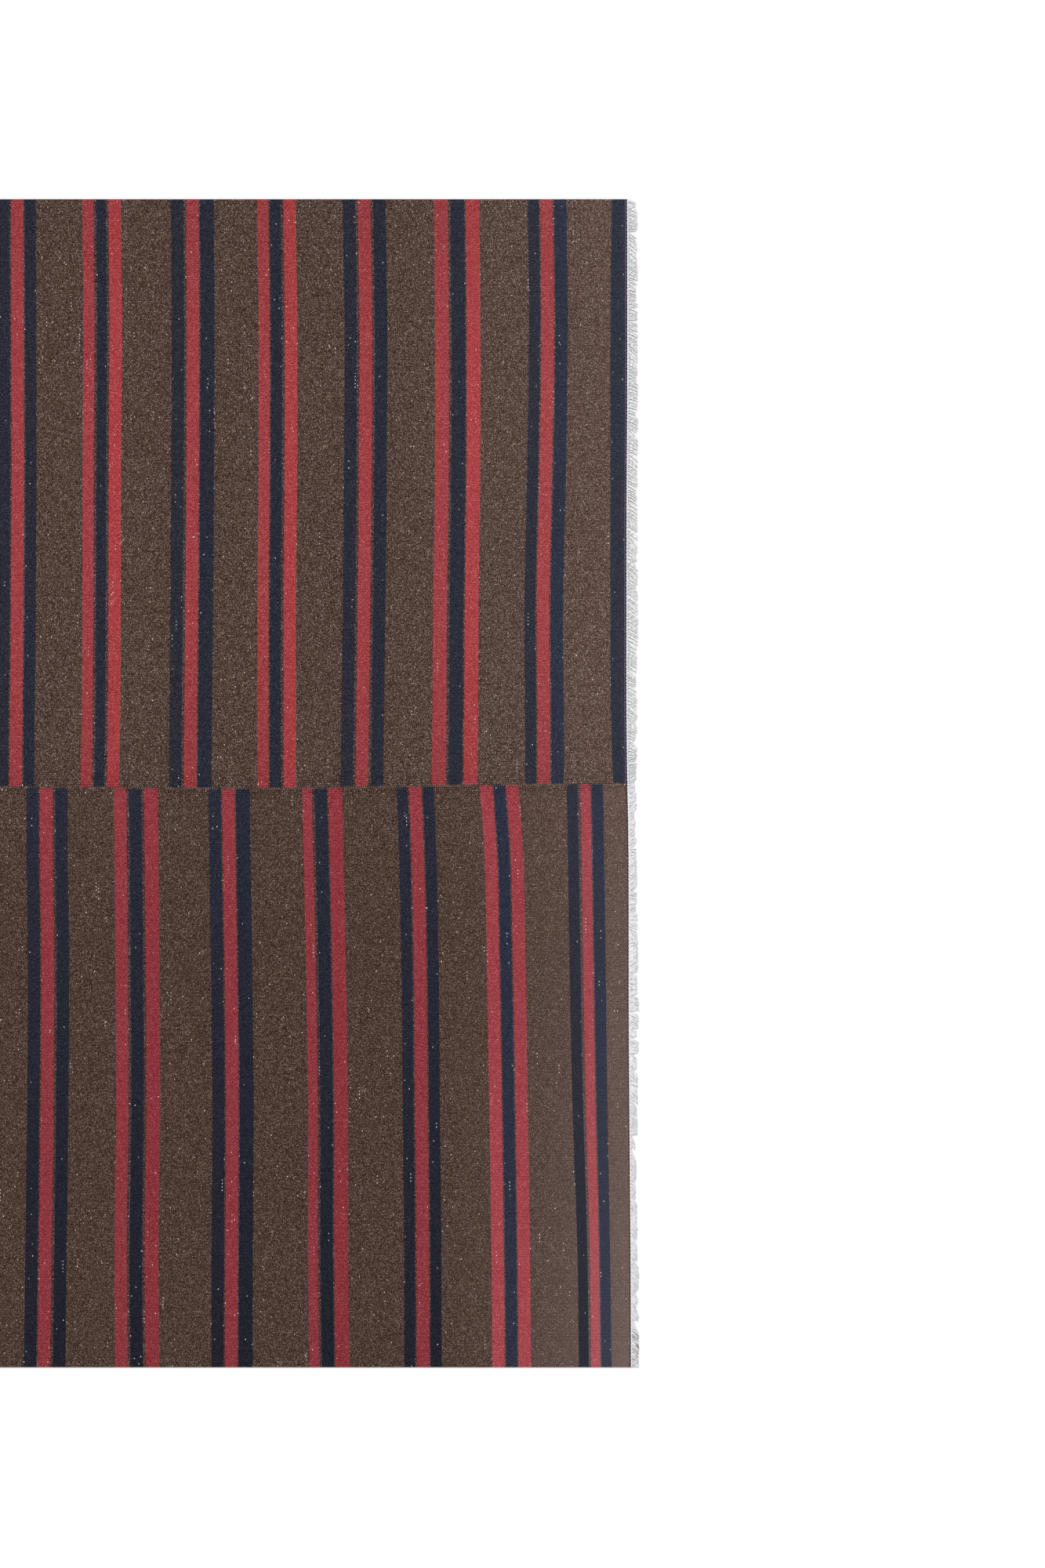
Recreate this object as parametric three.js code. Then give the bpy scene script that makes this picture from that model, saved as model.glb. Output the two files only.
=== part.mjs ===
// Kilim rug: two woven panels side by side, met along a middle seam, with a short fringe of
// warp ends at both ends. Millimetres. X runs along the warps, Y across them and Z up, and the
// rug lies flat with its underside on Z = 0.

import * as THREE from 'three';

// Cloth
const CLOTH_LENGTH = 2400;
const CLOTH_WIDTH = 1640;
const CLOTH_THICKNESS = 2.6;
const EDGE_CHAMFER = 0.5;
const PIECE_GAP = 0.3;

// Fringe
const STRIP_WIDTH = 3.2;
const STRIP_THICKNESS = 2.2;
const LOCKS_PER_FRINGE = 75;
const LOCK_ROOT_WIDTH = 7.2;
const LOCK_TIP_WIDTH = 3.4;
const LOCK_TIP_THICKNESS = 1.1;
const LOCK_LENGTH = 10;
const LOCK_LENGTH_SPREAD = 1.6;

// How the locks lean: sideways run of the tip, in waves along the end, and at the near corner
const LEAN_DRIFT = -1.4;
const LEAN_WAVES = [
  { run: 1.8, pitch: 58, phase: 0.4 },
  { run: 1.3, pitch: 141, phase: 2.1 },
];
const LEAN_SPREAD = 1;
const CORNER_LEAN = -6.5;
const CORNER_LEAN_START = 742;

const HALF_LENGTH = CLOTH_LENGTH / 2;
const HALF_WIDTH = CLOTH_WIDTH / 2;

// The seam's wander: place along the rug as a share of half its length, and offset in Y
const SEAM_PATH = [
  { along: -1.0, offset: 0 },
  { along: -0.75, offset: 2.2 },
  { along: -0.5, offset: 3.0 },
  { along: -0.2, offset: 0.5 },
  { along: 0.0, offset: -2.0 },
  { along: 0.27, offset: -4.4 },
  { along: 0.57, offset: -6.6 },
  { along: 0.68, offset: -4.6 },
  { along: 0.82, offset: -2.2 },
  { along: 1.0, offset: 0 },
];

// The +X end: place across the rug as a share of half its width, how far the cloth runs past
// its nominal end, and how far the fringe's tips do. The -X end is the same turned half a turn.
const END_LINE = [
  { across: 1.0, cloth: 0, tips: 14.3 },
  { across: 0.8, cloth: 0.2, tips: 14.9 },
  { across: 0.62, cloth: 0, tips: 15.8 },
  { across: 0.5, cloth: -0.7, tips: 14.2 },
  { across: 0.26, cloth: -1.0, tips: 15.6 },
  { across: 0.12, cloth: -0.9, tips: 13.8 },
  { across: 0.0, cloth: 0.3, tips: 13.6 },
  { across: -0.1, cloth: 1.9, tips: 13.2 },
  { across: -0.25, cloth: 2.2, tips: 14.8 },
  { across: -0.39, cloth: 2.3, tips: 16.8 },
  { across: -0.52, cloth: 2.9, tips: 15.2 },
  { across: -0.74, cloth: 4.4, tips: 14.2 },
  { across: -0.84, cloth: 5.0, tips: 16.8 },
  { across: -1.0, cloth: 5.5, tips: 16.4 },
];
const SEAM_STEPS = 28;
const END_STEPS = 16;
const CURVE_STEPS = 160;

const brownWool = new THREE.MeshStandardMaterial({ color: 0x5b4840, roughness: 0.95, metalness: 0 });
const darkWool = new THREE.MeshStandardMaterial({ color: 0x54423a, roughness: 0.95, metalness: 0 });
const cotton = new THREE.MeshStandardMaterial({ color: 0xdcdad4, roughness: 0.9, metalness: 0 });

// Repeatable scatter, from 0 to 1
function scatterFrom(seed) {
  let state = seed;
  return () => {
    state = (state * 1664525 + 1013904223) % 4294967296;
    return state / 4294967296;
  };
}

// A smooth line across the +X end through one column of the table, read as X at a given Y
function lineAcross(column) {
  const rows = END_LINE.map((row) => new THREE.Vector2(HALF_LENGTH + row[column], row.across * HALF_WIDTH));
  const points = new THREE.SplineCurve(rows).getPoints(CURVE_STEPS);
  return (y) => {
    const after = Math.max(1, points.findIndex((point) => point.y <= y));
    const [above, below] = [points[after - 1], points[after]];
    return THREE.MathUtils.mapLinear(y, above.y, below.y, above.x, below.x);
  };
}

const clothEnd = lineAcross('cloth');
const tipLine = lineAcross('tips');
const stripInner = (y) => clothEnd(y) + PIECE_GAP;
const stripOuter = (y) => stripInner(y) + STRIP_WIDTH;

// Points on a line across the end, from one place across the rug to another
function rowAlong(line, fromY, toY) {
  return Array.from({ length: END_STEPS + 1 }, (_, step) => {
    const y = THREE.MathUtils.lerp(fromY, toY, step / END_STEPS);
    return new THREE.Vector2(line(y), y);
  });
}

// One panel: its long free edge, both cloth ends and its side of the seam, with the slab's
// edges chamfered above and below
function panel(side) {
  const seam = new THREE.SplineCurve(
    SEAM_PATH.map((row) => new THREE.Vector2(row.along * HALF_LENGTH, row.offset + (side * PIECE_GAP) / 2)),
  ).getPoints(SEAM_STEPS);
  const right = rowAlong(clothEnd, side * HALF_WIDTH, seam[SEAM_STEPS].y);
  const left = rowAlong(clothEnd, -seam[0].y, -side * HALF_WIDTH).map((point) => point.negate());
  const between = seam.slice(1, SEAM_STEPS).reverse();
  const geometry = new THREE.ExtrudeGeometry(new THREE.Shape([...right, ...between, ...left]), {
    depth: CLOTH_THICKNESS - 2 * EDGE_CHAMFER,
    bevelThickness: EDGE_CHAMFER,
    bevelSize: EDGE_CHAMFER,
    bevelOffset: -EDGE_CHAMFER,
    bevelSegments: 1,
  });
  return geometry.translate(0, 0, EDGE_CHAMFER);
}

// Sideways run of a lock's tip at a place across the rug
function leanAt(y) {
  const waves = LEAN_WAVES.reduce(
    (sum, wave) => sum + wave.run * Math.sin((2 * Math.PI * y) / wave.pitch + wave.phase),
    LEAN_DRIFT,
  );
  const corner = THREE.MathUtils.smoothstep(-y, CORNER_LEAN_START, HALF_WIDTH);
  return THREE.MathUtils.lerp(waves, CORNER_LEAN, corner);
}

// One lock of warp ends in plan, bent sideways from its root on the strip out to its tip
function lockOutline(side, rootY, tipX, lean) {
  const room = HALF_WIDTH - LOCK_TIP_WIDTH / 2;
  const run = THREE.MathUtils.clamp(rootY + lean, -room, room) - rootY;
  const stations = [0, 0.5, 1].map((share) => ({
    x: THREE.MathUtils.lerp(stripOuter(rootY), tipX, share),
    y: rootY + run * share ** 1.4,
    half: (side * THREE.MathUtils.lerp(LOCK_ROOT_WIDTH, LOCK_TIP_WIDTH, share)) / 2,
  }));
  const out = stations.map((station) => new THREE.Vector2(station.x, station.y - station.half));
  const back = stations.map((station) => new THREE.Vector2(station.x, station.y + station.half));
  return [...out, ...back.reverse()];
}

// A fringe on the +X end, along one panel: a twined strip beside the cloth with its locks,
// level underneath and thinner towards the tips
function fringe(side, seed) {
  const scatter = scatterFrom(seed);
  const seamY = (side * PIECE_GAP) / 2;
  const edgeY = side * HALF_WIDTH;
  const pitch = (edgeY - seamY) / LOCKS_PER_FRINGE;
  const outline = [new THREE.Vector2(stripOuter(seamY), seamY)];
  for (let count = 0; count < LOCKS_PER_FRINGE; count += 1) {
    const rootY = seamY + pitch * (count + 0.5);
    const tipX = tipLine(rootY) - LOCK_LENGTH_SPREAD * scatter();
    outline.push(...lockOutline(side, rootY, tipX, leanAt(rootY) + LEAN_SPREAD * (scatter() - 0.5)));
  }
  outline.push(new THREE.Vector2(stripOuter(edgeY), edgeY), ...rowAlong(stripInner, edgeY, seamY));
  const geometry = new THREE.ExtrudeGeometry(new THREE.Shape(outline), {
    depth: STRIP_THICKNESS,
    bevelEnabled: false,
  });
  const position = geometry.getAttribute('position');
  for (let corner = 0; corner < position.count; corner += 1) {
    const run = position.getX(corner) - stripOuter(position.getY(corner));
    const share = THREE.MathUtils.clamp(run / LOCK_LENGTH, 0, 1);
    const taper = THREE.MathUtils.lerp(1, LOCK_TIP_THICKNESS / STRIP_THICKNESS, share);
    position.setZ(corner, position.getZ(corner) * taper);
  }
  geometry.computeVertexNormals();
  return geometry;
}

function piece(name, geometry, material, turn = 0) {
  const mesh = new THREE.Mesh(geometry, material);
  mesh.name = name;
  mesh.rotation.z = turn;
  return mesh;
}

const farFringe = fringe(1, 21);
const nearFringe = fringe(-1, 47);

const rug = new THREE.Group();
rug.add(piece('panel_far', panel(1), brownWool));
rug.add(piece('panel_near', panel(-1), darkWool));
rug.add(piece('fringe_far_right', farFringe, cotton));
rug.add(piece('fringe_near_right', nearFringe, cotton));
rug.add(piece('fringe_far_left', nearFringe, cotton, Math.PI));
rug.add(piece('fringe_near_left', farFringe, cotton, Math.PI));

export default rug;
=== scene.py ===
import math

import bpy
import numpy as np
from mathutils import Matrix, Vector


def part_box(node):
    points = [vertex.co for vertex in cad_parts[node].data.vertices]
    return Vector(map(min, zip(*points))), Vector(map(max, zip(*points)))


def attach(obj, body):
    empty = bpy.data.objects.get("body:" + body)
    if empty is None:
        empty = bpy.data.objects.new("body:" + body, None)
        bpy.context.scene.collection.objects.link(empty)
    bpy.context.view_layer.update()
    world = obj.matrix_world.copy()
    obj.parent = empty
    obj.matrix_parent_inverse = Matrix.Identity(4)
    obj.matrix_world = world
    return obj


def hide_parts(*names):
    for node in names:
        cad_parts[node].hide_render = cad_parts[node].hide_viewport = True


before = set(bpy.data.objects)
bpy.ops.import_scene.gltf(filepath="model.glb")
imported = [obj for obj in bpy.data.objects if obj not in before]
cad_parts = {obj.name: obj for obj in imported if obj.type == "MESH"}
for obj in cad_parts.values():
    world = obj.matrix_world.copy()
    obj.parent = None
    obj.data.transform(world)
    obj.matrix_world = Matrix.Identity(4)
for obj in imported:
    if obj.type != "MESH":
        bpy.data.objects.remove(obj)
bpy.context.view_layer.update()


# Woven panels
# The rug is two loom widths of weft-faced wool cloth laid side by side. Cotton warps run the
# length of the rug and show as ribs under wool wefts, packed so tight that they hide them.
# The stripes are navy and red wefts beaten in between the brown ones, so they wander with them.
CLOTH_LENGTH = 2.4
HALF_LENGTH = CLOTH_LENGTH / 2
HALF_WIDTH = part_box("panel_far")[1].y
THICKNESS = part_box("panel_far")[1].z
WARPS = 333
RIB_WIDTH = HALF_WIDTH / WARPS
RIB_DEPTH = 0.0004
CREST_SPREAD = 0.00006
END_ROUNDING = 0.0022
END_FINISH = 0.009

# The ribs nearest the long edge and the seam are thicker: how many half ribs, how much wider
# than the rest, and how far in from each face the cloth's rim lies
EDGE_HALF_RIBS = 4
SEAM_HALF_RIBS = 6
SELVEDGE_RIB = 1.3
SELVEDGE_HEIGHT = 0.0009

# How far in from the cloth's right end each group of stripes has its middle, in millimetres, at
# these shares of the way from the middle seam to the long edge, and where the edges of its three
# stripes lie from that middle. The group nearest the end comes first. Wide groups and narrow
# ones follow from how many passes of weft the weaver beat in.
PLACES = (0, 0.1, 0.3, 0.55, 0.8, 1)
FAR_GROUPS = (
    ((118, 118, 119, 115, 112.5, 114.5), (-25.3, -10.7, -7.8, 8.2, 10.5, 28.0)),
    ((241.5, 240.5, 239.5, 237, 237, 238.5), (-33.1, -14.7, -11.5, 7.9, 11.5, 30.5)),
    ((373.5, 372.5, 370.5, 368.5, 368, 370.5), (-30.7, -11.7, -9.0, 9.6, 12.1, 30.8)),
    ((492, 492, 492, 490.5, 490.5, 492.5), (-28.9, -12.7, -10.3, 5.4, 9.2, 26.2)),
    ((614.5, 614, 612.5, 611, 610.5, 611.5), (-30.2, -12.1, -8.5, 8.9, 11.3, 29.4)),
    ((740.5, 739, 738, 737.5, 736.5, 738), (-27.9, -11.9, -9.2, 4.9, 8.3, 26.2)),
    ((859.5, 859, 857.5, 856.5, 857, 857.5), (-27.5, -11.6, -8.3, 8.6, 11.2, 25.7)),
)
NEAR_GROUPS = (
    ((60, 58.5, 56, 51.5, 44, 41.8), (-25.7, -9.9, -6.7, 7.2, 9.3, 23.8)),
    ((182, 176, 172, 168.5, 165.5, 164), (-25.7, -8.2, -6.2, 7.8, 10.8, 27.3)),
    ((299, 295.5, 292, 290, 288, 287.5), (-25.7, -11.0, -8.2, 8.7, 10.8, 26.3)),
    ((429.5, 427.5, 424, 421, 421, 419), (-28.7, -13.7, -11.1, 5.9, 9.5, 28.4)),
    ((561, 560, 557.5, 555.5, 556.5, 557), (-28.4, -11.5, -8.2, 9.0, 11.3, 29.2)),
    ((692, 691, 689.5, 688.5, 691, 689.5), (-29.9, -12.2, -9.4, 9.3, 12.5, 31.6)),
    ((816.5, 816.5, 814.5, 815.5, 818, 820), (-28.5, -10.5, -8.1, 8.8, 11.9, 29.7)),
)

# At the same places and in millimetres: how wide the navy band is at the far panel's end, and how
# much the right half of the near panel's last group is spread out, or drawn together below 0
END_BAND = (19.5, 22.5, 23.5, 23.5, 23.5, 21.5)
NEAR_LAST_SPREAD = (0.8, 0.8, 0.5, -1.6, -6, -6)

# Past the photo's edge the groups go on at an even pitch, in metres, with middling stripes that
# wander in two waves: the height of each in metres, its run across and its shift by the group
SEEN_GROUPS = 7
HIDDEN_GROUPS = 11
HIDDEN_PITCH = {1: 0.1265, -1: 0.1335}
HIDDEN_EDGES = (-28.9, -11.8, -9.0, 8.0, 11.0, 28.7)
HIDDEN_WANDER = ((0.0022, 2.1, 1.7), (0.0012, 6.3, 1))

# The stripe number is whole in the middle of a group, and runs on by one in this many metres.
# A group's border lines lie half its width from the middle, a little out in the brown wool, and
# past the last of all these lines the number runs on by a tenth.
REPEAT = 0.124
GROUP_HALF = 0.034
PAST_LAST_LINE = 0.1

# Where the corners of a solid's edge lie: this far in from its faces and from the edge's place
CHAMFER_CLEAR = 0.0004
END_SEARCH = 0.01
SEAM_SEARCH = 0.02


def through(values, share):
    """A smooth line through a table row's values, read at shares of the way to the long edge."""
    values, places = np.array(values) / 1000, np.array(PLACES, float)
    slopes = np.gradient(values, places)
    after = np.clip(np.searchsorted(places, share), 1, len(places) - 1)
    span = places[after] - places[after - 1]
    t = (share - places[after - 1]) / span
    return (
        values[after - 1] * (2 * t**3 - 3 * t**2 + 1)
        + slopes[after - 1] * span * (t**3 - 2 * t**2 + t)
        + values[after] * (3 * t**2 - 2 * t**3)
        + slopes[after] * span * (t**3 - t**2)
    )


def solid_edge(node, along_y):
    """The middle line of a panel solid's right end, or of its side of the seam, as a function."""
    corners = np.array([v.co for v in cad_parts[node].data.vertices])
    height = corners[:, 2]
    corners = corners[(height > CHAMFER_CLEAR) & (height < THICKNESS - CHAMFER_CLEAR)]
    if along_y:
        line = corners[corners[:, 0] > HALF_LENGTH - END_SEARCH]
        line = line[np.argsort(line[:, 1])]
        return lambda y: np.interp(y, line[:, 1], line[:, 0])
    line = corners[np.abs(corners[:, 1]) < SEAM_SEARCH]
    line = line[np.argsort(line[:, 0])]
    return lambda x: np.interp(x, line[:, 0], line[:, 1])


right_ends = {1: solid_edge("panel_far", True), -1: solid_edge("panel_near", True)}
seam_sides = {1: solid_edge("panel_far", False), -1: solid_edge("panel_near", False)}


def cloth_end(y):
    """Where the cloth ends on the right at a place across the rug. The left end is it turned."""
    return np.where(y > 0, right_ends[1](y), right_ends[-1](y))


def weft_lines(side, share):
    """Lines that the wefts follow: each one's stripe number, and how far in it lies."""
    groups = FAR_GROUPS if side > 0 else NEAR_GROUPS
    middles = [through(middle, share) for middle, _ in groups]
    for extra in range(1, HIDDEN_GROUPS + 1):
        wander = sum(
            height * np.sin(run * share + shift * extra) for height, run, shift in HIDDEN_WANDER
        )
        middles.append(np.mean(groups[-1][0]) / 1000 + extra * HIDDEN_PITCH[side] + wander)
    lines = [(0.5, through(END_BAND, share))] if side > 0 else []
    for number, inset in enumerate(middles):
        spread = through(NEAR_LAST_SPREAD, share) if side < 0 and number == 0 else 0
        lines.append((GROUP_HALF / REPEAT - number, inset - GROUP_HALF - spread))
        lines.append((-GROUP_HALF / REPEAT - number, inset + GROUP_HALF))
    if side < 0:
        lines.append((0.5 - len(middles), CLOTH_LENGTH - through(END_BAND, share)))
    return lines


def woven_panel(name, side):
    """A panel's closed mesh: ribs across it, and columns of points that follow the wefts."""
    warps = np.arange(2 * WARPS + 1) / 2
    valley = np.isclose(warps, np.round(warps))
    widths = np.ones(2 * WARPS)
    widths[:EDGE_HALF_RIBS] = SELVEDGE_RIB
    widths[-SEAM_HALF_RIBS:] = SELVEDGE_RIB
    share = 1 - np.concatenate([[0], np.cumsum(widths)]) / widths.sum()
    rough_y = side * HALF_WIDTH * share
    right, left = cloth_end(rough_y), -cloth_end(-rough_y)

    lines = weft_lines(side, share)
    first, last = lines[0][0] + PAST_LAST_LINE, lines[-1][0] - PAST_LAST_LINE
    stripes = [first] * 3 + [number for number, _ in lines] + [last] * 3
    columns = [right, right - END_ROUNDING, right - END_FINISH]
    columns += [HALF_LENGTH - inset for _, inset in lines]
    columns += [left + END_FINISH, left + END_ROUNDING, left]
    x = np.array(columns).T
    seam = seam_sides[side](x)
    y = side * HALF_WIDTH + (seam - side * HALF_WIDTH) * (1 - share)[:, None]

    relief = np.random.default_rng(31 + side)
    crest = CREST_SPREAD * relief.random(len(warps))
    low = np.where(valley, RIB_DEPTH, crest)
    low[[0, -1]] = SELVEDGE_HEIGHT
    low = np.repeat(low[:, None], x.shape[1], 1)
    low[:, [0, -1]] = np.maximum(low[:, [0, -1]], SELVEDGE_HEIGHT)
    top = np.stack([x, y, THICKNESS - low], 2)
    under = np.stack([x, y, low], 2)

    rows, cols = x.shape
    number = np.arange(rows * cols).reshape(rows, cols)
    quads = np.stack([number[:-1, :-1], number[1:, :-1], number[1:, 1:], number[:-1, 1:]], 2)
    quads = quads.reshape(-1, 4)
    rim = np.concatenate([number[0, :-1], number[:-1, -1], number[-1, :0:-1], number[:0:-1, 0]])
    beside = np.roll(rim, -1)
    wall = np.stack([rim, beside, beside + number.size, rim + number.size], 1)
    faces = np.concatenate([quads[:, ::-1], quads + number.size, wall])
    if side < 0:
        faces = faces[:, ::-1]

    mesh = bpy.data.meshes.new(name)
    points = np.concatenate([top.reshape(-1, 3), under.reshape(-1, 3)])
    mesh.from_pydata(points.tolist(), [], faces.tolist())
    mesh.shade_smooth()

    along = x.mean(0) - left.mean()
    woven = np.stack(np.broadcast_arrays(along[None, :], (warps * RIB_WIDTH)[:, None]), 2)
    woven = np.tile(woven.reshape(-1, 2), (2, 1))
    corner = np.empty(len(mesh.loops), int)
    mesh.loops.foreach_get("vertex_index", corner)
    mesh.uv_layers.new(name="weave").data.foreach_set("uv", woven[corner].ravel())
    stripe = np.tile(np.tile(np.array(stripes, float), rows), 2)
    mesh.attributes.new("stripe", "FLOAT", "POINT").data.foreach_set("value", stripe)

    panel = bpy.data.objects.new(name, mesh)
    bpy.context.scene.collection.objects.link(panel)
    return panel, along[0]


# Finishes are written as sums on a node's value, so this wraps a socket as a number.
class Value:
    def __init__(self, nodes, socket):
        self.nodes = nodes
        self.socket = socket

    def math(self, operation, *others):
        return self.nodes.add("ShaderNodeMath", {"operation": operation}, [self, *others])

    def __add__(self, other):
        return self.math("ADD", other)

    def __sub__(self, other):
        return self.math("SUBTRACT", other)

    def __rsub__(self, other):
        return self.nodes.add("ShaderNodeMath", {"operation": "SUBTRACT"}, [other, self])

    def __mul__(self, other):
        return self.math("MULTIPLY", other)

    def __truediv__(self, other):
        return self.math("DIVIDE", other)

    def __pow__(self, other):
        return self.math("POWER", other)

    def __gt__(self, other):
        return self.math("GREATER_THAN", other)

    def __lt__(self, other):
        return self.math("LESS_THAN", other)

    __radd__ = __add__
    __rmul__ = __mul__

    def floor(self):
        return self.math("FLOOR")

    def fract(self):
        return self.math("FRACT")

    def between(self, low, high):
        """0 below low and 1 above high, with a soft step from one to the other."""
        settings = {"interpolation_type": "SMOOTHSTEP"}
        return self.nodes.add("ShaderNodeMapRange", settings, [self, low, high])


class Nodes:
    """A node tree that is built up by adding nodes to it."""

    def __init__(self, tree):
        self.tree = tree

    def add(self, kind, settings=None, values=(), out=0):
        node = self.tree.nodes.new(kind)
        for name, setting in (settings or {}).items():
            setattr(node, name, setting)
        pairs = values.items() if isinstance(values, dict) else enumerate(values)
        for name, value in pairs:
            if isinstance(value, Value):
                self.tree.links.new(value.socket, node.inputs[name])
            else:
                node.inputs[name].default_value = value
        self.last = node
        return Value(self, node.outputs[out]) if node.outputs else None

    def also(self, out):
        """Another output of the node that was added last."""
        return Value(self, self.last.outputs[out])

    def mix(self, first, second, share, blend="MIX"):
        settings = {"data_type": "RGBA", "blend_type": blend}
        return self.add("ShaderNodeMix", settings, {0: share, 6: first, 7: second}, out=2)

    def scale(self, colour, factor):
        return self.add("ShaderNodeVectorMath", {"operation": "SCALE"}, {0: colour, 3: factor})

    def place(self, x, y, z=0.0):
        return self.add("ShaderNodeCombineXYZ", values=[x, y, z])

    def chance(self, x, y, z=0.0):
        """A random number from 0 to 1 for each place, then three more by also()."""
        value = self.add("ShaderNodeTexWhiteNoise", {"noise_dimensions": "3D"}, [self.place(x, y, z)])
        self.add("ShaderNodeSeparateColor", values=[self.also("Color")])
        return value

    def cells(self, place):
        """Uneven cells about 1 across: how far from a cell's middle, and three random numbers."""
        distance = self.add("ShaderNodeTexVoronoi", values={"Vector": place, "Scale": 1.0})
        self.add("ShaderNodeSeparateColor", values=[self.also("Color")])
        return distance, *(self.also(out) for out in range(3))

    def noise(self, place, detail=2.0):
        """Soft noise, mostly from 0.3 to 0.7, that changes over a distance of about 1."""
        return self.add("ShaderNodeTexNoise", values={"Vector": place, "Scale": 1.0, "Detail": detail})

    def ramp(self, value, stops):
        """Colours in steps along a value from 0 to 1."""
        colours = self.add("ShaderNodeValToRGB", values=[value])
        ramp = self.last.color_ramp
        ramp.interpolation = "CONSTANT"
        for place, colour in stops[2:]:
            ramp.elements.new(place)
        for element, (place, colour) in zip(ramp.elements, stops):
            element.position = place
            element.color = colour
        return colours


def screen(red, green, blue):
    """A colour as it shows on a screen, given from 0 to 255."""
    return (red / 255, green / 255, blue / 255, 1)


def colour(red, green, blue):
    """The amount of light in a colour as it shows on a screen."""
    shown = screen(red, green, blue)[:3]
    light = [c / 12.92 if c <= 0.04045 else ((c + 0.055) / 1.055) ** 2.4 for c in shown]
    return (*light, 1)


def new_finish(name, roughness):
    finish = bpy.data.materials.new(name)
    finish.use_nodes = True
    shader = finish.node_tree.nodes["Principled BSDF"]
    shader.inputs["Roughness"].default_value = roughness
    shader.inputs["Specular IOR Level"].default_value = 0.1
    return finish, Nodes(finish.node_tree), shader


def connect(value, shader, name):
    value.nodes.tree.links.new(value.socket, shader.inputs[name])


# One pick is one pass of weft. It shows on every second rib, so each float is two picks long.
PICK = 0.0007

# How far a float keeps to one pick's dye at a stripe's edge. At 1 whole floats tooth the edge.
EDGE_TEETH = 0.6

# The groups take turns between two orders of dyes. A ramp holds 32 stops and a group takes six of
# them, so the groups that show are shared between two ramps of four.
A_DYES = ("navy", "red", "teal")
B_DYES = ("red", "teal", "scarlet")
RAMP_GROUPS = 4

# Sizes in the spun wool, along the warps and across them: single fibres, the tufts that they
# are spun from, slubs in the weft, and patches where the dye or the fleece changed
FIBRES = (0.00013, 0.0014)
TUFTS = (0.00038, 0.00075)
SLUBS = (0.0016, 0.03)
PATCHES = (0.06, 0.045)

# Pale fibres lie in stretches of a pick, this long. Most stretches have none, and those that do
# show it on about half of their floats. Hardly any float has one of its own.
PALE_STRETCH = 0.021
NO_PALE_STRETCH = 0.9982
SKIPPED_FLOATS = 0.45
NO_PALE_FLOAT = 0.998

# How a dye is told by its colour: reds have this much more red in them than green, and navies
# less red than this
RED_OVER_GREEN = 0.2
NAVY_RED = 0.26

# Where across the rug the far panel's reds are palest, how far from the seam the painted shade in
# the hollows between the ribs deepens, and how much painted light lies on the crest of a float
# beside its dye
PALEST_RED = 0.42
SEAM_SHADE = 0.02
PAINTED_CREST_LIGHT = 1.24

# How much wear at the right end takes away of the wool's grain
GRAIN_LOSS = 1.8

# The last passes of a navy band are aubergine. They start between these distances from the end.
AUBERGINE_PASSES = (0.007, 0.0085)


def stripe_stops(groups, dyes, lowest, span):
    """A ramp's stops for numbered groups, over a span of stripe numbers from the lowest."""
    stops = [(0, dyes["brown"])]
    for number, edges in sorted(groups):
        kinds = A_DYES if number % 2 == 0 else B_DYES
        for kind, start, end in zip(kinds, edges[::2], edges[1::2]):
            stops.append(((number + start / 1000 / REPEAT - lowest) / span, dyes[kind]))
            after = dyes["brown"] if end == edges[-1] else dyes["gap"]
            stops.append(((number + end / 1000 / REPEAT - lowest) / span, after))
    return stops


def dyed_wefts(nodes, side, dyes, number):
    """Each weft's dye, by its stripe number. Group 0 is the right one, and the rest count down."""
    groups = FAR_GROUPS if side > 0 else NEAR_GROUPS
    edges = {-place: groups[place][1] for place in range(SEEN_GROUPS)}
    unseen = stripe_stops([(place, HIDDEN_EDGES) for place in (0, 1)], dyes, -0.5, 2)
    dyed = nodes.ramp(((number + 0.5) / 2).fract(), unseen)
    for last in (-RAMP_GROUPS, 0):
        numbers = range(last, last - RAMP_GROUPS, -1)
        numbered = [(place, edges.get(place, HIDDEN_EDGES)) for place in numbers]
        lowest = last - RAMP_GROUPS + 0.5
        stops = stripe_stops(numbered, dyes, lowest, RAMP_GROUPS)
        dyed = nodes.mix(dyed, nodes.ramp((number - lowest) / RAMP_GROUPS, stops), number > lowest)
    in_band = number > 0.5 if side > 0 else number < 0.5 - SEEN_GROUPS - HIDDEN_GROUPS
    return nodes.mix(dyed, dyes["band"], in_band)


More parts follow.
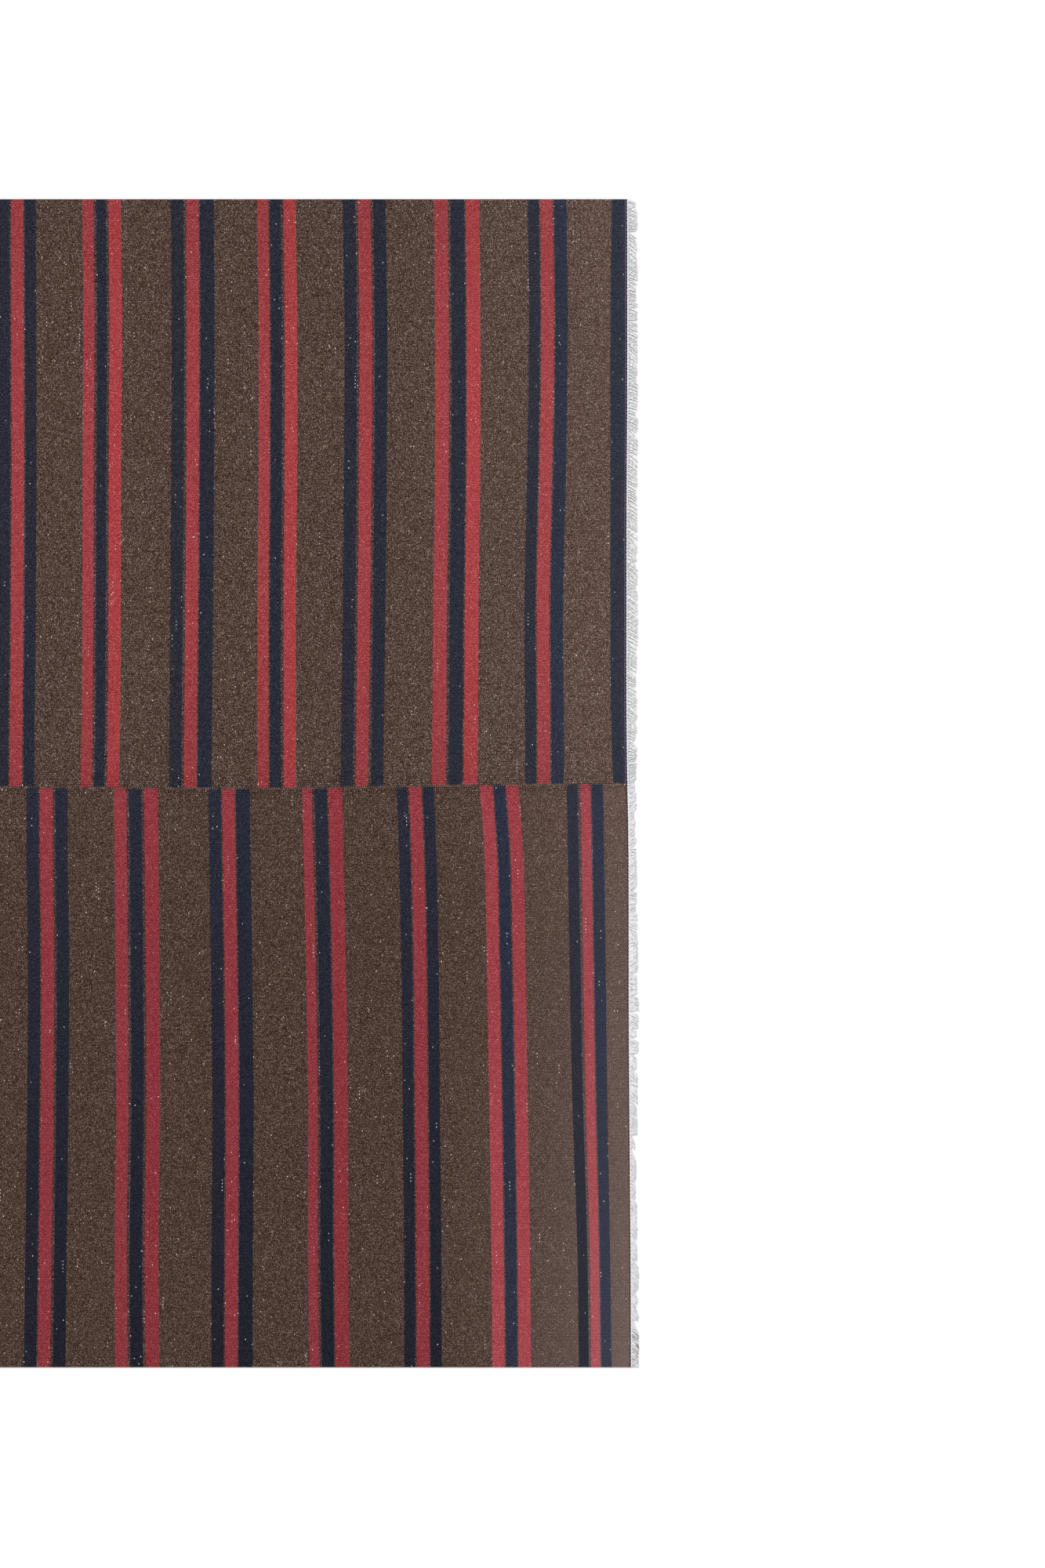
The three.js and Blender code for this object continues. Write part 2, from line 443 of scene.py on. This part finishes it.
def woven_wool(name, side, end, dyes, wear):
    """The panels' finish: dyed and natural wool wefts over the ribs, float by float."""
    finish, nodes, shader = new_finish(name, 0.95)
    seed = 3.0 + side
    weave = nodes.add("ShaderNodeUVMap", {"uv_map": "weave"})
    along = nodes.add("ShaderNodeSeparateXYZ", values=[weave])
    across = nodes.also(1)
    stripe = nodes.add("ShaderNodeAttribute", {"attribute_name": "stripe"}, out=2)
    rug_x = nodes.add("ShaderNodeSeparateXYZ", values=[nodes.add("ShaderNodeTexCoord", out=3)])
    rug_y = nodes.also(1)

    def scaled(size, nudge=0):
        return nodes.place(along / size[0] + nudge, across / size[1] + nudge, seed)

    rib = (across / RIB_WIDTH).floor()
    on_rib = (across / RIB_WIDTH).fract()
    shift = (rib / 2).fract() * 2
    turn = (along / PICK + shift) / 2
    on_float = turn.fract()
    pick = turn.floor() * 2 - shift + 1
    nodes.chance(pick, rib, seed)
    light_chance, fleck_chance = (nodes.also(out) for out in range(2))

    # Floats wear the colour of their own pick, which leaves the stripes' edges toothed
    number = stripe + (pick - along / PICK) * (PICK / REPEAT) * EDGE_TEETH
    dyed = dyed_wefts(nodes, side, dyes, number)
    from_end, to_end = AUBERGINE_PASSES
    if side > 0:
        last_picks = along.between(end - to_end, end - from_end)
    else:
        last_picks = 1 - along.between(from_end, to_end)
    dyed = nodes.mix(dyed, screen(52, 45, 59), last_picks * 0.8)

    # Light has bleached the right end and left dust in it. Brown wool bleaches most.
    worn = ((rug_x - wear["start"]) / wear["reach"]).math("MAXIMUM", 0) ** wear["growth"]
    lift = worn * wear["bleached"]
    haze = worn * (wear["dusty"] + rug_y * wear["dustier"])

    # Natural wool is spun from dark and pale fleece, so its fibres differ more than dyed ones.
    # They differ by as much in red, green and blue, so this sum is on the colour as it shows.
    red = nodes.add("ShaderNodeSeparateColor", values=[dyed])
    green = nodes.also(1)
    is_red = (red - green) > RED_OVER_GREEN
    is_navy = red < NAVY_RED
    spread = (1 - is_red * 0.35 - is_navy * 0.55) * (1 - haze * GRAIN_LOSS) * wear["heather"]
    fibre = nodes.noise(scaled(FIBRES), 1.0)
    ragged = (fibre - 0.5) * 2
    from_middle, tuft, pale_tuft, hue_chance = nodes.cells(scaled(TUFTS, ragged))
    grain = (tuft - 0.5) * 0.36 + (pale_tuft**9 - 0.1) * 0.6 + (fibre - 0.5) * 0.25
    # Each tuft is also painted darker towards its rim, as shade that rounds it
    speckle_and_rim_shade = spread * (grain - (from_middle - 0.58) * 0.12)
    speckle_and_rim_shade = nodes.place(speckle_and_rim_shade, speckle_and_rim_shade, speckle_and_rim_shade)
    rough = nodes.add("ShaderNodeVectorMath", {"operation": "ADD"}, [dyed, speckle_and_rim_shade])
    wool = nodes.add("ShaderNodeGamma", values=[rough, 2.2])
    hue = nodes.mix((1.02, 0.99, 0.985, 1), (0.98, 1.01, 1.0, 1), hue_chance)

    # The right stripe of the last group, and the near panel's second group, took more indigo
    indigo = (number > 0) * (number < 0.5)
    if side < 0:
        indigo = indigo + (number > -1.5) * (number < -0.5)
    wool = nodes.mix(wool, (1.06, 1.13, 1.27, 1), is_navy * indigo, "MULTIPLY")

    # Slubs run along the wefts, and thick and thin warps across them. Ribs and floats are rounded,
    # with painted shade in the hollows between them that is deepest beside the seam, and painted
    # light on their crests.
    slubs = nodes.noise(scaled(SLUBS))
    patches = nodes.noise(scaled(PATCHES))
    warps = nodes.chance(rib, seed, 5.0)
    uneven = 1 + (slubs - 0.5) * 0.08 + (patches - 0.5) * 0.06 + (warps - 0.5) * 0.05
    by_seam = across.between(HALF_WIDTH - SEAM_SHADE, HALF_WIDTH)
    rib_round = (on_rib * (1 - on_rib) * 4) ** 0.6
    float_round = 1 - ((on_float - 0.5).math("ABSOLUTE") * 2) ** 3
    # Painted shade in the hollows between ribs and floats, and painted light on their crests
    painted_hollow_shade = (1 - rib_round) * (0.65 + by_seam * 0.3) + (1 - float_round) * 0.35
    shade = uneven * (PAINTED_CREST_LIGHT - painted_hollow_shade)

    # Dyes vary from place to place. On the far panel the reds are deeper towards both edges. The
    # near one is palest by the seam, its navy is deeper towards the long edge, and the reds of
    # its last two groups have faded, most of all by the long edge.
    if side > 0:
        shade = shade * (1 + is_red * (0.055 - (rug_y - PALEST_RED) ** 2 * 0.85))
    else:
        deeper = is_navy * (1 - indigo) * rug_y * 0.45
        shade = shade * (1 + deeper + rug_y.between(-0.3, 0.1) * 0.12)
        fading = (number > -1.5) * (0.11 - rug_y * 0.43)
        shade = shade * (1 + is_red * (rug_y * 0.1 + fading))
        haze = haze * (1 - is_navy * 0.5 - is_red * 0.35)
    natural = 1 - is_red * 0.65 - is_navy
    dust_and_shade = nodes.mix(colour(162, 145, 143), colour(146, 146, 162), is_navy)
    hazy = nodes.mix(nodes.mix(wool, hue, 1.0, "MULTIPLY"), dust_and_shade, haze)
    toned = nodes.scale(hazy, shade * (1 + lift * natural))

    # Pale fibres spun into a pick show on a few of its floats in a row, or on a single one
    place = (across / PALE_STRETCH + (pick * 0.37).fract()).floor()
    stretch = nodes.chance(pick, place, seed + 2)
    height = rib_round * float_round
    in_stretch = (stretch > NO_PALE_STRETCH) * (fleck_chance > SKIPPED_FLOATS)
    pale_float = in_stretch + (fleck_chance > NO_PALE_FLOAT)
    fleck = (pale_float * height.between(0.5, 0.8)).math("MINIMUM", 1)
    flecked = nodes.mix(toned, colour(246, 240, 226), fleck * (0.3 + light_chance * 0.6))
    connect(flecked, shader, "Base Color")

    bump = nodes.add("ShaderNodeBump", values={"Strength": 0.5, "Distance": 0.0003, "Height": height})
    connect(bump, shader, "Normal")
    return finish


# Each panel's dyes, as they show in an even light before wear and weave
FAR_DYES = {
    "brown": screen(71, 53, 45),
    "gap": screen(68, 47, 46),
    "navy": screen(41, 42, 52),
    "teal": screen(39, 41, 52),
    "red": screen(146, 57, 61),
    "scarlet": screen(156, 58, 62),
    "band": screen(37, 43, 55),
}
NEAR_DYES = {
    "brown": screen(68, 50, 42),
    "gap": screen(67, 45, 45),
    "navy": screen(40, 41, 53),
    "teal": screen(38, 40, 52),
    "red": screen(135, 52, 59),
    "scarlet": screen(132, 49, 56),
    "band": screen(44, 46, 56),
}

# Wear starts this far along the rug, grows over a reach, and leaves the wool bleached and dusty
# by so much, dustier with each metre towards the far edge. Heather is how mixed the fleece is.
FAR_WEAR = {
    "start": 0.75,
    "reach": 0.4,
    "growth": 1.8,
    "bleached": 0.26,
    "dusty": 0.03,
    "dustier": 0,
    "heather": 0.92,
}
NEAR_WEAR = {
    "start": 0.8,
    "reach": 0.38,
    "growth": 2.6,
    "bleached": 0.24,
    "dusty": 0.075,
    "dustier": -0.12,
    "heather": 0.8,
}
panel_far, far_end = woven_panel("far_cloth", 1)
panel_near, near_end = woven_panel("near_cloth", -1)
far_wool = woven_wool("brown_wool", 1, far_end, FAR_DYES, FAR_WEAR)
near_wool = woven_wool("dark_brown_wool", -1, near_end, NEAR_DYES, NEAR_WEAR)
panel_far.data.materials.append(far_wool)
panel_near.data.materials.append(near_wool)
for panel, node, slot in (
    (panel_far, "panel_far", "brown_wool"),
    (panel_near, "panel_near", "dark_brown_wool"),
):
    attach(panel, "root")
    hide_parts(node)


# End cords
# The last picks of each cloth end are twined in dark yarn, and past them a pair of white cotton
# yarns is twined round the warps to lock them. Both run the full width of the panel.
CORD_STEP = 0.0099
TURN_POINTS = 12

# Each row: how far out past the cloth's end its middle lies, how high, and its yarn's radius
DARK_ROW = (-0.0011, 0.0018, 0.00052)
WHITE_ROW = (0.0007, 0.00155, 0.0006)
LILAC_ROW = (-0.0025, THICKNESS - 0.0001, 0.0005)
LILAC_WINDING = (0, 0.0004)

# A row stops short of the seam and of the long edge, and bends with the cloth's end
SHORT_OF_SEAM = 0.0005
SHORT_OF_EDGE = 0.0006
ROW_POINTS = 220


def node_group(name, inputs):
    """An empty geometry tree with named inputs, and the values of those inputs inside it."""
    tree = bpy.data.node_groups.new(name, "GeometryNodeTree")
    tree.interface.new_socket("Geometry", in_out="OUTPUT", socket_type="NodeSocketGeometry")
    tree.interface.new_socket("Geometry", in_out="INPUT", socket_type="NodeSocketGeometry")
    for label, kind in inputs.items():
        tree.interface.new_socket(label, in_out="INPUT", socket_type="NodeSocket" + kind)
    nodes = Nodes(tree)
    lines = nodes.add("NodeGroupInput")
    return nodes, lines, {label: nodes.also(label) for label in inputs}


def yarn_round(nodes, path, radius, material):
    """Gives each path a round yarn's body, as one mesh that ends the tree."""
    ring = nodes.add("GeometryNodeCurvePrimitiveCircle", values={"Resolution": 5, "Radius": 1.0})
    shape = {"Curve": path, "Profile Curve": ring, "Scale": radius, "Fill Caps": True}
    body = nodes.add("GeometryNodeCurveToMesh", values=shape)
    body = nodes.add("GeometryNodeSetShadeSmooth", values=[body])
    body = nodes.add("GeometryNodeRealizeInstances", values=[body])
    body = nodes.add("GeometryNodeSetMaterial", values={"Geometry": body, "Material": material})
    nodes.add("NodeGroupOutput", values=[body])


def grown(name, lines, group, settings):
    """The mesh that a node tree makes from a mesh of lines, as an object of its own."""
    thing = bpy.data.objects.new(name, lines)
    bpy.context.scene.collection.objects.link(thing)
    modifier = thing.modifiers.new("grow", "NODES")
    modifier.node_group = group.tree
    for item in group.tree.interface.items_tree:
        if item.in_out == "INPUT" and item.name in settings:
            modifier[item.identifier] = settings[item.name]
    evaluated = thing.evaluated_get(bpy.context.evaluated_depsgraph_get())
    thing.data = bpy.data.meshes.new_from_object(evaluated)
    thing.modifiers.clear()
    return thing


def lines_mesh(name, paths, **extra):
    """A mesh of open lines. Extra gives a number for each line, under an attribute's name."""
    points, edges, numbers = [], [], {key: [] for key in extra}
    for place, path in enumerate(paths):
        start = len(points)
        points += [tuple(point) for point in path]
        edges += [(number, number + 1) for number in range(start, len(points) - 1)]
        for key, values in extra.items():
            numbers[key] += [values[place]] * len(path)
    mesh = bpy.data.meshes.new(name)
    mesh.from_pydata(points, edges, [])
    for key, values in numbers.items():
        mesh.attributes.new(key, "FLOAT", "POINT").data.foreach_set("value", values)
    return mesh


# A wound yarn follows its line in a coil, which is flat for a running stitch.
WOUND, wound_lines, wound = node_group(
    "wound_yarn",
    {
        "Radius": "Float",
        "Sideways": "Float",
        "Upward": "Float",
        "Step": "Float",
        "Material": "Material",
    },
)
path = WOUND.add("GeometryNodeMeshToCurve", values=[wound_lines])
spacing = wound["Step"] / TURN_POINTS
path = WOUND.add(
    "GeometryNodeResampleCurve", {"mode": "LENGTH"}, {"Curve": path, "Length": spacing}
)
phase = WOUND.add("GeometryNodeInputNamedAttribute", {"data_type": "FLOAT"}, {"Name": "phase"})
WOUND.add("GeometryNodeSplineParameter")
angle = (WOUND.also("Length") / wound["Step"] + phase) * 2 * math.pi
tangent = WOUND.add("GeometryNodeInputTangent")
beside = WOUND.add("ShaderNodeVectorMath", {"operation": "CROSS_PRODUCT"}, [tangent, (0, 0, 1)])
coil = WOUND.scale(beside, angle.math("COSINE") * wound["Sideways"])
lift = WOUND.place(0, 0, angle.math("SINE") * wound["Upward"])
offset = WOUND.add("ShaderNodeVectorMath", {"operation": "ADD"}, [coil, lift])
path = WOUND.add("GeometryNodeSetPosition", values={"Geometry": path, "Offset": offset})
yarn_round(WOUND, path, wound["Radius"], wound["Material"])


# How thick the fine fibres of a spun yarn show
YARN_FIBRE = 0.0005


def yarn_finish(name, shade, other, patch=0.004):
    """Spun yarn: two shades that change along it, and fine fibres."""
    finish, nodes, shader = new_finish(name, 0.95)
    place = nodes.add("ShaderNodeTexCoord", out=3)
    patches = nodes.noise(nodes.scale(place, 1 / patch), 1.0)
    fibres = nodes.noise(nodes.scale(place, 1 / YARN_FIBRE), 1.0)
    mixed = nodes.mix(shade, other, patches.between(0.38, 0.62))
    connect(nodes.scale(mixed, 0.65 + fibres * 0.7), shader, "Base Color")
    bump = nodes.add("ShaderNodeBump", values={"Strength": 0.5, "Distance": 0.0002, "Height": fibres})
    connect(bump, shader, "Normal")
    return finish


white_cotton = yarn_finish("white_cotton", colour(250, 248, 248), colour(240, 239, 243))
dark_yarn = yarn_finish("dark_end_yarn", colour(56, 51, 46), colour(40, 37, 34))
aubergine_yarn = yarn_finish("aubergine_yarn", colour(64, 50, 66), colour(50, 42, 56))
lilac_yarn = yarn_finish("lilac_yarn", colour(122, 118, 130), colour(104, 100, 112))


def end_line(side, turned, out, height):
    """A line along a panel's end, out past the cloth's end. The left end is it turned round."""
    ys = side * np.linspace(SHORT_OF_SEAM, HALF_WIDTH - SHORT_OF_EDGE, ROW_POINTS)
    turn = -1 if turned else 1
    xs = cloth_end(ys) + out
    return [(turn * x, turn * y, height) for x, y in zip(xs, ys)]


def end_yarn(name, side, turned, row, material, phases=(0, 0.5), winding=None):
    """One row of yarn along a cloth end, of two strands twined or one in running stitch."""
    out, height, radius = row
    sideways, upward = winding or (radius, radius)
    line = end_line(side, turned, out, height)
    lines = lines_mesh(name, [line] * len(phases), phase=phases)
    settings = {
        "Radius": radius,
        "Sideways": sideways,
        "Upward": upward,
        "Step": CORD_STEP,
        "Material": material,
    }
    return grown(name, lines, WOUND, settings)


ENDS = {
    "far_right": (1, False, aubergine_yarn),
    "near_right": (-1, False, dark_yarn),
    "far_left": (-1, True, dark_yarn),
    "near_left": (1, True, aubergine_yarn),
}
sewn_on = {"far": [], "near": []}
for place, (side, turned, dark) in ENDS.items():
    panel_name = place.split("_")[0]
    rows = [
        end_yarn("end_twining_" + place, side, turned, DARK_ROW, dark),
        end_yarn("white_twining_" + place, side, turned, WHITE_ROW, white_cotton),
    ]
    if dark == aubergine_yarn:
        name = "lilac_row_" + place
        rows.append(end_yarn(name, side, turned, LILAC_ROW, lilac_yarn, (0,), LILAC_WINDING))
    for row in rows:
        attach(row, "root")
    sewn_on[panel_name] += rows


# Fringe
# Past the white twining every warp is cut off at about 14 mm: a cotton yarn of two plies, which
# lies on the floor, leans with its neighbours and crosses some of them. Tufts stick together.

# The strands' lean, as the tip's run towards the near edge for each metre out, at shares of half
# the rug's width from its middle. It turns over wherever a hand has brushed the fringe.
LEANS = (
    (-1.0, 1.0), (-0.91, 1.1), (-0.87, 2.0), (-0.83, 1.5), (-0.78, 1.6), (-0.72, 1.5),
    (-0.68, 1.1), (-0.64, 1.8), (-0.6, 1.1), (-0.53, 1.1), (-0.49, 1.0), (-0.45, 0.3),
    (-0.4, 0.5), (-0.34, 0.0), (-0.3, -0.8), (-0.26, 0.8), (-0.2, 0.3), (-0.16, -0.3),
    (-0.12, -0.9), (-0.08, -0.8), (-0.04, -0.4), (0.01, -0.6), (0.04, 0.2), (0.07, 0.5),
    (0.12, 1.0), (0.16, 0.8), (0.26, 0.7), (0.3, 1.1), (0.35, 0.9), (0.4, 1.3), (0.46, 0.8),
    (0.52, 0.8), (0.56, 1.2), (0.6, 0.7), (0.65, 0.4), (0.7, 0.8), (0.76, 0.9), (0.81, 0.3),
    (0.87, 0.6), (0.92, 1.1), (0.96, 0.5), (1.0, 0.4),
)

# How far the tips reach past the cloth's nominal end, in millimetres, at the same kind of shares
TIP_LINE = (
    (1.0, 14.3), (0.8, 14.9), (0.62, 15.8), (0.5, 14.2), (0.26, 15.6), (0.12, 13.8), (0.0, 13.6),
    (-0.1, 13.2), (-0.25, 14.8), (-0.39, 16.8), (-0.52, 15.2), (-0.74, 14.2), (-0.84, 16.8),
    (-1.0, 16.4),
)

# Where a tuft has worn short, at such a share, and how many metres of it are gone
WORN_NOTCHES = (
    (-0.601, 0.006), (-0.624, 0.006), (-0.861, 0.004), (-0.886, 0.005), (-0.922, 0.006),
)
NOTCH_WIDTH = 0.006

# A strand starts this far past the cloth's end, this many of its radii up, and droops to the
# floor by so much. Its plies are flattened a little, and thin out at the tip.
ROOT_OUT = 0.0012
ROOT_HEIGHT = 2.05
DROOP = 0.0005
FLATTENED = 0.9
TIP_THINNING = 0.45
STRAND_POINTS = 10

# How the strands differ, in metres: in their place, length, lean and bow, and in how far a whole
# tuft has worn down. One warp in four starts a tuft, and a tuft leans by a share of the table.
PLACE_SPREAD = 0.0002
LENGTH_SPREAD = 0.0018
LEAN_SPREAD = 0.0009
BOW_SPREAD = 0.0005
MOST_WORN = 0.003
TUFT_STARTS = 0.25
LEAN_SHARE = 0.8

# Past this place across, in metres, the near corner's strands have the deepest painted shade down
# their flanks, and some dark plies. Between the next two the fringe turns a little darker, and it
# stays so to the near edge.
DARK_CORNER = -0.768
DARKER_STEP = (-0.46, -0.4)


def lean_at(y):
    """How far sideways the strands run for each metre out, at a place across the right end."""
    places, leans = np.array(LEANS).T
    return -np.interp(y / HALF_WIDTH, places, leans)


def tip_line(y):
    """How far the strands reach past the cloth's nominal end."""
    table = np.array(TIP_LINE)[::-1]
    return HALF_LENGTH + np.interp(y / HALF_WIDTH, table[:, 0], table[:, 1]) / 1000


STRANDS, strand_roots, strand = node_group(
    "fringe_strands", {"Radius": "Float", "Turns": "Float", "Turned": "Float", "Material": "Material"}
)


def field(name):
    return STRANDS.add("GeometryNodeInputNamedAttribute", {"data_type": "FLOAT"}, {"Name": name})


line = STRANDS.add("GeometryNodeCurvePrimitiveLine", values={"End": (1, 0, 0)})
line = STRANDS.add("GeometryNodeResampleCurve", values={"Curve": line, "Count": STRAND_POINTS})
strands = STRANDS.add("GeometryNodeInstanceOnPoints", values={"Points": strand_roots, "Instance": line})
strands = STRANDS.add("GeometryNodeRealizeInstances", values=[strands])
along = STRANDS.add("GeometryNodeSplineParameter")
run, lean, bow, hop = field("run"), field("lean"), field("bow"), field("hop")
ply, twist_start = field("ply"), field("twist_start")
angle = (along * strand["Turns"] + twist_start + ply / 2) * 2 * math.pi
loose = strand["Radius"] * (0.9 + along**4 * 0.5)
arch = along * (1 - along) * 4
side_run = lean * along**1.5 + bow * arch + angle.math("COSINE") * loose
lifted = (1 - along) ** 4 * DROOP + hop * arch + angle.math("SINE") * loose * FLATTENED
turn = strand["Turned"]
offset = STRANDS.place(run * along * turn - along, side_run * turn, lifted)
strands = STRANDS.add("GeometryNodeSetPosition", values={"Geometry": strands, "Offset": offset})
thinned = strand["Radius"] * (1 - along**5 * TIP_THINNING)
yarn_round(STRANDS, strands, thinned, strand["Material"])


# How long the patches are where the cotton is a shade darker
COTTON_PATCH = 0.01


def cotton_finish(name):
    """Cotton yarn with painted light and shade: painted lighter where it faces up and painted grey down
    its flanks, more so on some strands than on others.
    """
    finish, nodes, shader = new_finish(name, 0.95)
    place = nodes.add("ShaderNodeTexCoord", out=3)
    dust_and_shade = nodes.add("ShaderNodeAttribute", {"attribute_name": "dust_and_shade"}, out=2)
    nodes.add("ShaderNodeNewGeometry")
    nodes.add("ShaderNodeSeparateXYZ", values=[nodes.also("Normal")])
    upward = nodes.also(2)
    patches = nodes.noise(nodes.scale(place, 1 / COTTON_PATCH), 1.0)
    fibres = nodes.noise(nodes.scale(place, 1 / YARN_FIBRE), 1.0)
    # Painted light on the tops and painted shade down the flanks, both deeper on some strands than on
    # others. A strand's value over 1 makes a whole ply dark.
    top = nodes.mix(colour(237, 239, 243), colour(252, 250, 250), dust_and_shade)
    top = nodes.scale(top, 1 - patches.between(0.45, 0.7) * 0.1 - dust_and_shade.between(1, 2) * 0.85)
    shaded_flank = nodes.mix(colour(224, 226, 230), colour(48, 44, 44), dust_and_shade)
    facing = (upward + (fibres - 0.5) * 0.5).between(0.05, 0.55)
    cotton = nodes.mix(shaded_flank, top, facing)
    nodes.add("ShaderNodeSeparateXYZ", values=[place])
    # The fringe is a little darker from this step on to the near edge
    in_darker_part = 1 - nodes.also(1).between(*DARKER_STEP)
    connect(nodes.scale(cotton, 1 - in_darker_part * 0.085), shader, "Base Color")
    bump = nodes.add("ShaderNodeBump", values={"Strength": 0.4, "Distance": 0.0002, "Height": fibres})
    connect(bump, shader, "Normal")
    return finish


# The two panels' strands: the plies' radius, how often they turn, and how strong the painted
# light on their tops and the painted shade down their flanks are
FAR_STRAND, NEAR_STRAND = 0.00056, 0.0005
FAR_TURNS, NEAR_TURNS = 1.3, 0.5
FAR_LIGHT_AND_SHADE, NEAR_LIGHT_AND_SHADE = (0.3, 0.85), (0, 0.24)
fringe_cotton = cotton_finish("fringe_cotton")


def fringe(name, side, turned, seed):
    """A fringe's strands along one panel's end. The near panel's are loose, and lie in pairs."""
    chance = np.random.default_rng(seed)
    turn = -1 if turned else 1
    radius = FAR_STRAND if side > 0 else NEAR_STRAND
    count = WARPS if side > 0 else 2 * WARPS
    ys = side * (np.arange(count) + 0.5) * HALF_WIDTH / count
    room = HALF_WIDTH - 2.2 * radius
    ys = np.clip(ys + chance.normal(0, PLACE_SPREAD, count), -room, room)
    start = cloth_end(ys) + ROOT_OUT
    tuft = np.cumsum(chance.random(count) < TUFT_STARTS * WARPS / count)
    worn_short = chance.random(tuft[-1] + 1)[tuft] ** 3 * MOST_WORN
    for place, depth in WORN_NOTCHES:
        worn_short += depth * np.exp(-(((ys / HALF_WIDTH - place) / NOTCH_WIDTH) ** 2))
    run = tip_line(ys) - LENGTH_SPREAD * chance.random(count) - worn_short - start
    middles = np.array([ys[tuft == number].mean() for number in tuft])
    pull = chance.uniform(0, 0.5, tuft[-1] + 1)[tuft]
    lean = lean_at(middles) * run * LEAN_SHARE + (middles - ys) * pull
    lean += chance.normal(0, LEAN_SPREAD, count)
    bow = chance.normal(0, BOW_SPREAD, count)
    # Each strand's share of painted light on its top and painted shade down its flanks
    dust_and_shade = chance.uniform(*(FAR_LIGHT_AND_SHADE if side > 0 else NEAR_LIGHT_AND_SHADE), count)
    in_corner = ys < DARK_CORNER
    dust_and_shade[in_corner] = 1
    numbers = {
        "run": run,
        "lean": np.clip(ys + lean, -room, room) - ys,
        "bow": np.clip(ys + bow, -room, room) - ys,
        "hop": np.abs(chance.normal(0, BOW_SPREAD, count)),
        "twist_start": chance.random(count),
        "dust_and_shade": dust_and_shade,
    }
    height = ROOT_HEIGHT * radius
    roots = [[(turn * x, turn * y, height)] for x, y in zip(start, ys) for _ in range(2)]
    twice = {key: np.repeat(values, 2) for key, values in numbers.items()}

    # In the near corner one of the two plies of every second strand is dark
    twice["dust_and_shade"][::4] += in_corner[::2]
    settings = {
        "Radius": radius,
        "Turns": FAR_TURNS if side > 0 else NEAR_TURNS,
        "Turned": float(turn),
        "Material": fringe_cotton,
    }
    lines = lines_mesh(name, roots, ply=np.tile([0.0, 1.0], count), **twice)
    return grown(name, lines, STRANDS, settings)


for seed, (place, (side, turned, _)) in enumerate(ENDS.items(), 60):
    strands = fringe("strands_" + place, side, turned, seed)
    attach(strands, "root")
    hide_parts("fringe_" + place)
    sewn_on[place.split("_")[0]].append(strands)


# Middle seam
# The two selvedges are whipped together with one pale brown yarn, which takes more of the near
# panel than of the far one. Its short slanting stitches show, a little lighter than the cloth.

# The step from stitch to stitch, the yarn's radius, its reach to either side and up and down, and
# how far its middle line lies from the seam
SEAM_STEP = 0.0031
SEAM_YARN = 0.00055
SEAM_REACH = 0.0015
SEAM_RISE = 0.001
SEAM_SHIFT = -0.0011
SEAM_STOP = HALF_LENGTH - 0.002
SEAM_POINTS = 900
seam_xs = np.linspace(SEAM_STOP, -SEAM_STOP, SEAM_POINTS)
seam_ys = (seam_sides[1](seam_xs) + seam_sides[-1](seam_xs)) / 2 + SEAM_SHIFT
seam_path = [(x, y, SEAM_YARN + SEAM_RISE) for x, y in zip(seam_xs, seam_ys)]
seam_yarn = yarn_finish("seam_yarn", colour(132, 113, 104), colour(92, 75, 67), patch=0.009)
seam = grown(
    "seam_whipping",
    lines_mesh("seam_whipping", [seam_path], phase=[0.0]),
    WOUND,
    {
        "Radius": SEAM_YARN,
        "Sideways": SEAM_REACH,
        "Upward": SEAM_RISE,
        "Step": SEAM_STEP,
        "Material": seam_yarn,
    },
)
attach(seam, "root")
sewn_on["near"].append(seam)


# Floor
# A plain pale floor that the rug lies on. It is set a hair lower, so that its face and the
# rug's underside don't fall in one plane.
FLOOR_SIZE = 30
FLOOR_DROP = 0.0002
bpy.ops.mesh.primitive_plane_add(size=FLOOR_SIZE, location=(0, 0, -FLOOR_DROP))
floor = bpy.context.object
floor.name = "floor"
floor_finish, _, floor_shader = new_finish("floor_paint", 1.0)
floor_shader.inputs["Base Color"].default_value = (0.97, 0.97, 0.97, 1)
floor.data.materials.append(floor_finish)


# Light and camera
# Soft studio light from all round, with a broad key from the far left, and a camera straight
# above the right part of the rug, where the picture's frame cuts the rest off.
world = bpy.data.worlds.new("studio")
bpy.context.scene.world = world
world.use_nodes = True
studio = world.node_tree.nodes["Background"]
studio.inputs["Color"].default_value = (1, 1, 1, 1)
studio.inputs["Strength"].default_value = 0.72
key = bpy.data.objects.new("key_light", bpy.data.lights.new("key_light", "SUN"))
key.data.energy = 1.45
key.data.angle = math.radians(25)
key.rotation_euler = (math.radians(-35), math.radians(-20), 0)
bpy.context.scene.collection.objects.link(key)

# The picture's size and the places of the cloth's end and the seam in it, in pixels, and how many
# metres of the rug one pixel shows
PICTURE_WIDTH, PICTURE_HEIGHT = 1333, 2000
CLOTH_END_COLUMN, SEAM_ROW = 800, 999
PIXEL = 0.0011007
LENS, FILM = 85, 36
camera = bpy.data.objects.new("camera", bpy.data.cameras.new("camera"))
camera.data.lens = LENS
camera.data.sensor_width = FILM
camera.location = (
    HALF_LENGTH + (PICTURE_WIDTH / 2 - CLOTH_END_COLUMN) * PIXEL,
    (SEAM_ROW - PICTURE_HEIGHT / 2) * PIXEL,
    THICKNESS + PICTURE_HEIGHT * PIXEL * LENS / FILM,
)
camera.data.clip_end = 50
bpy.context.scene.collection.objects.link(camera)
bpy.context.scene.camera = camera
bpy.context.scene.view_settings.view_transform = "Standard"
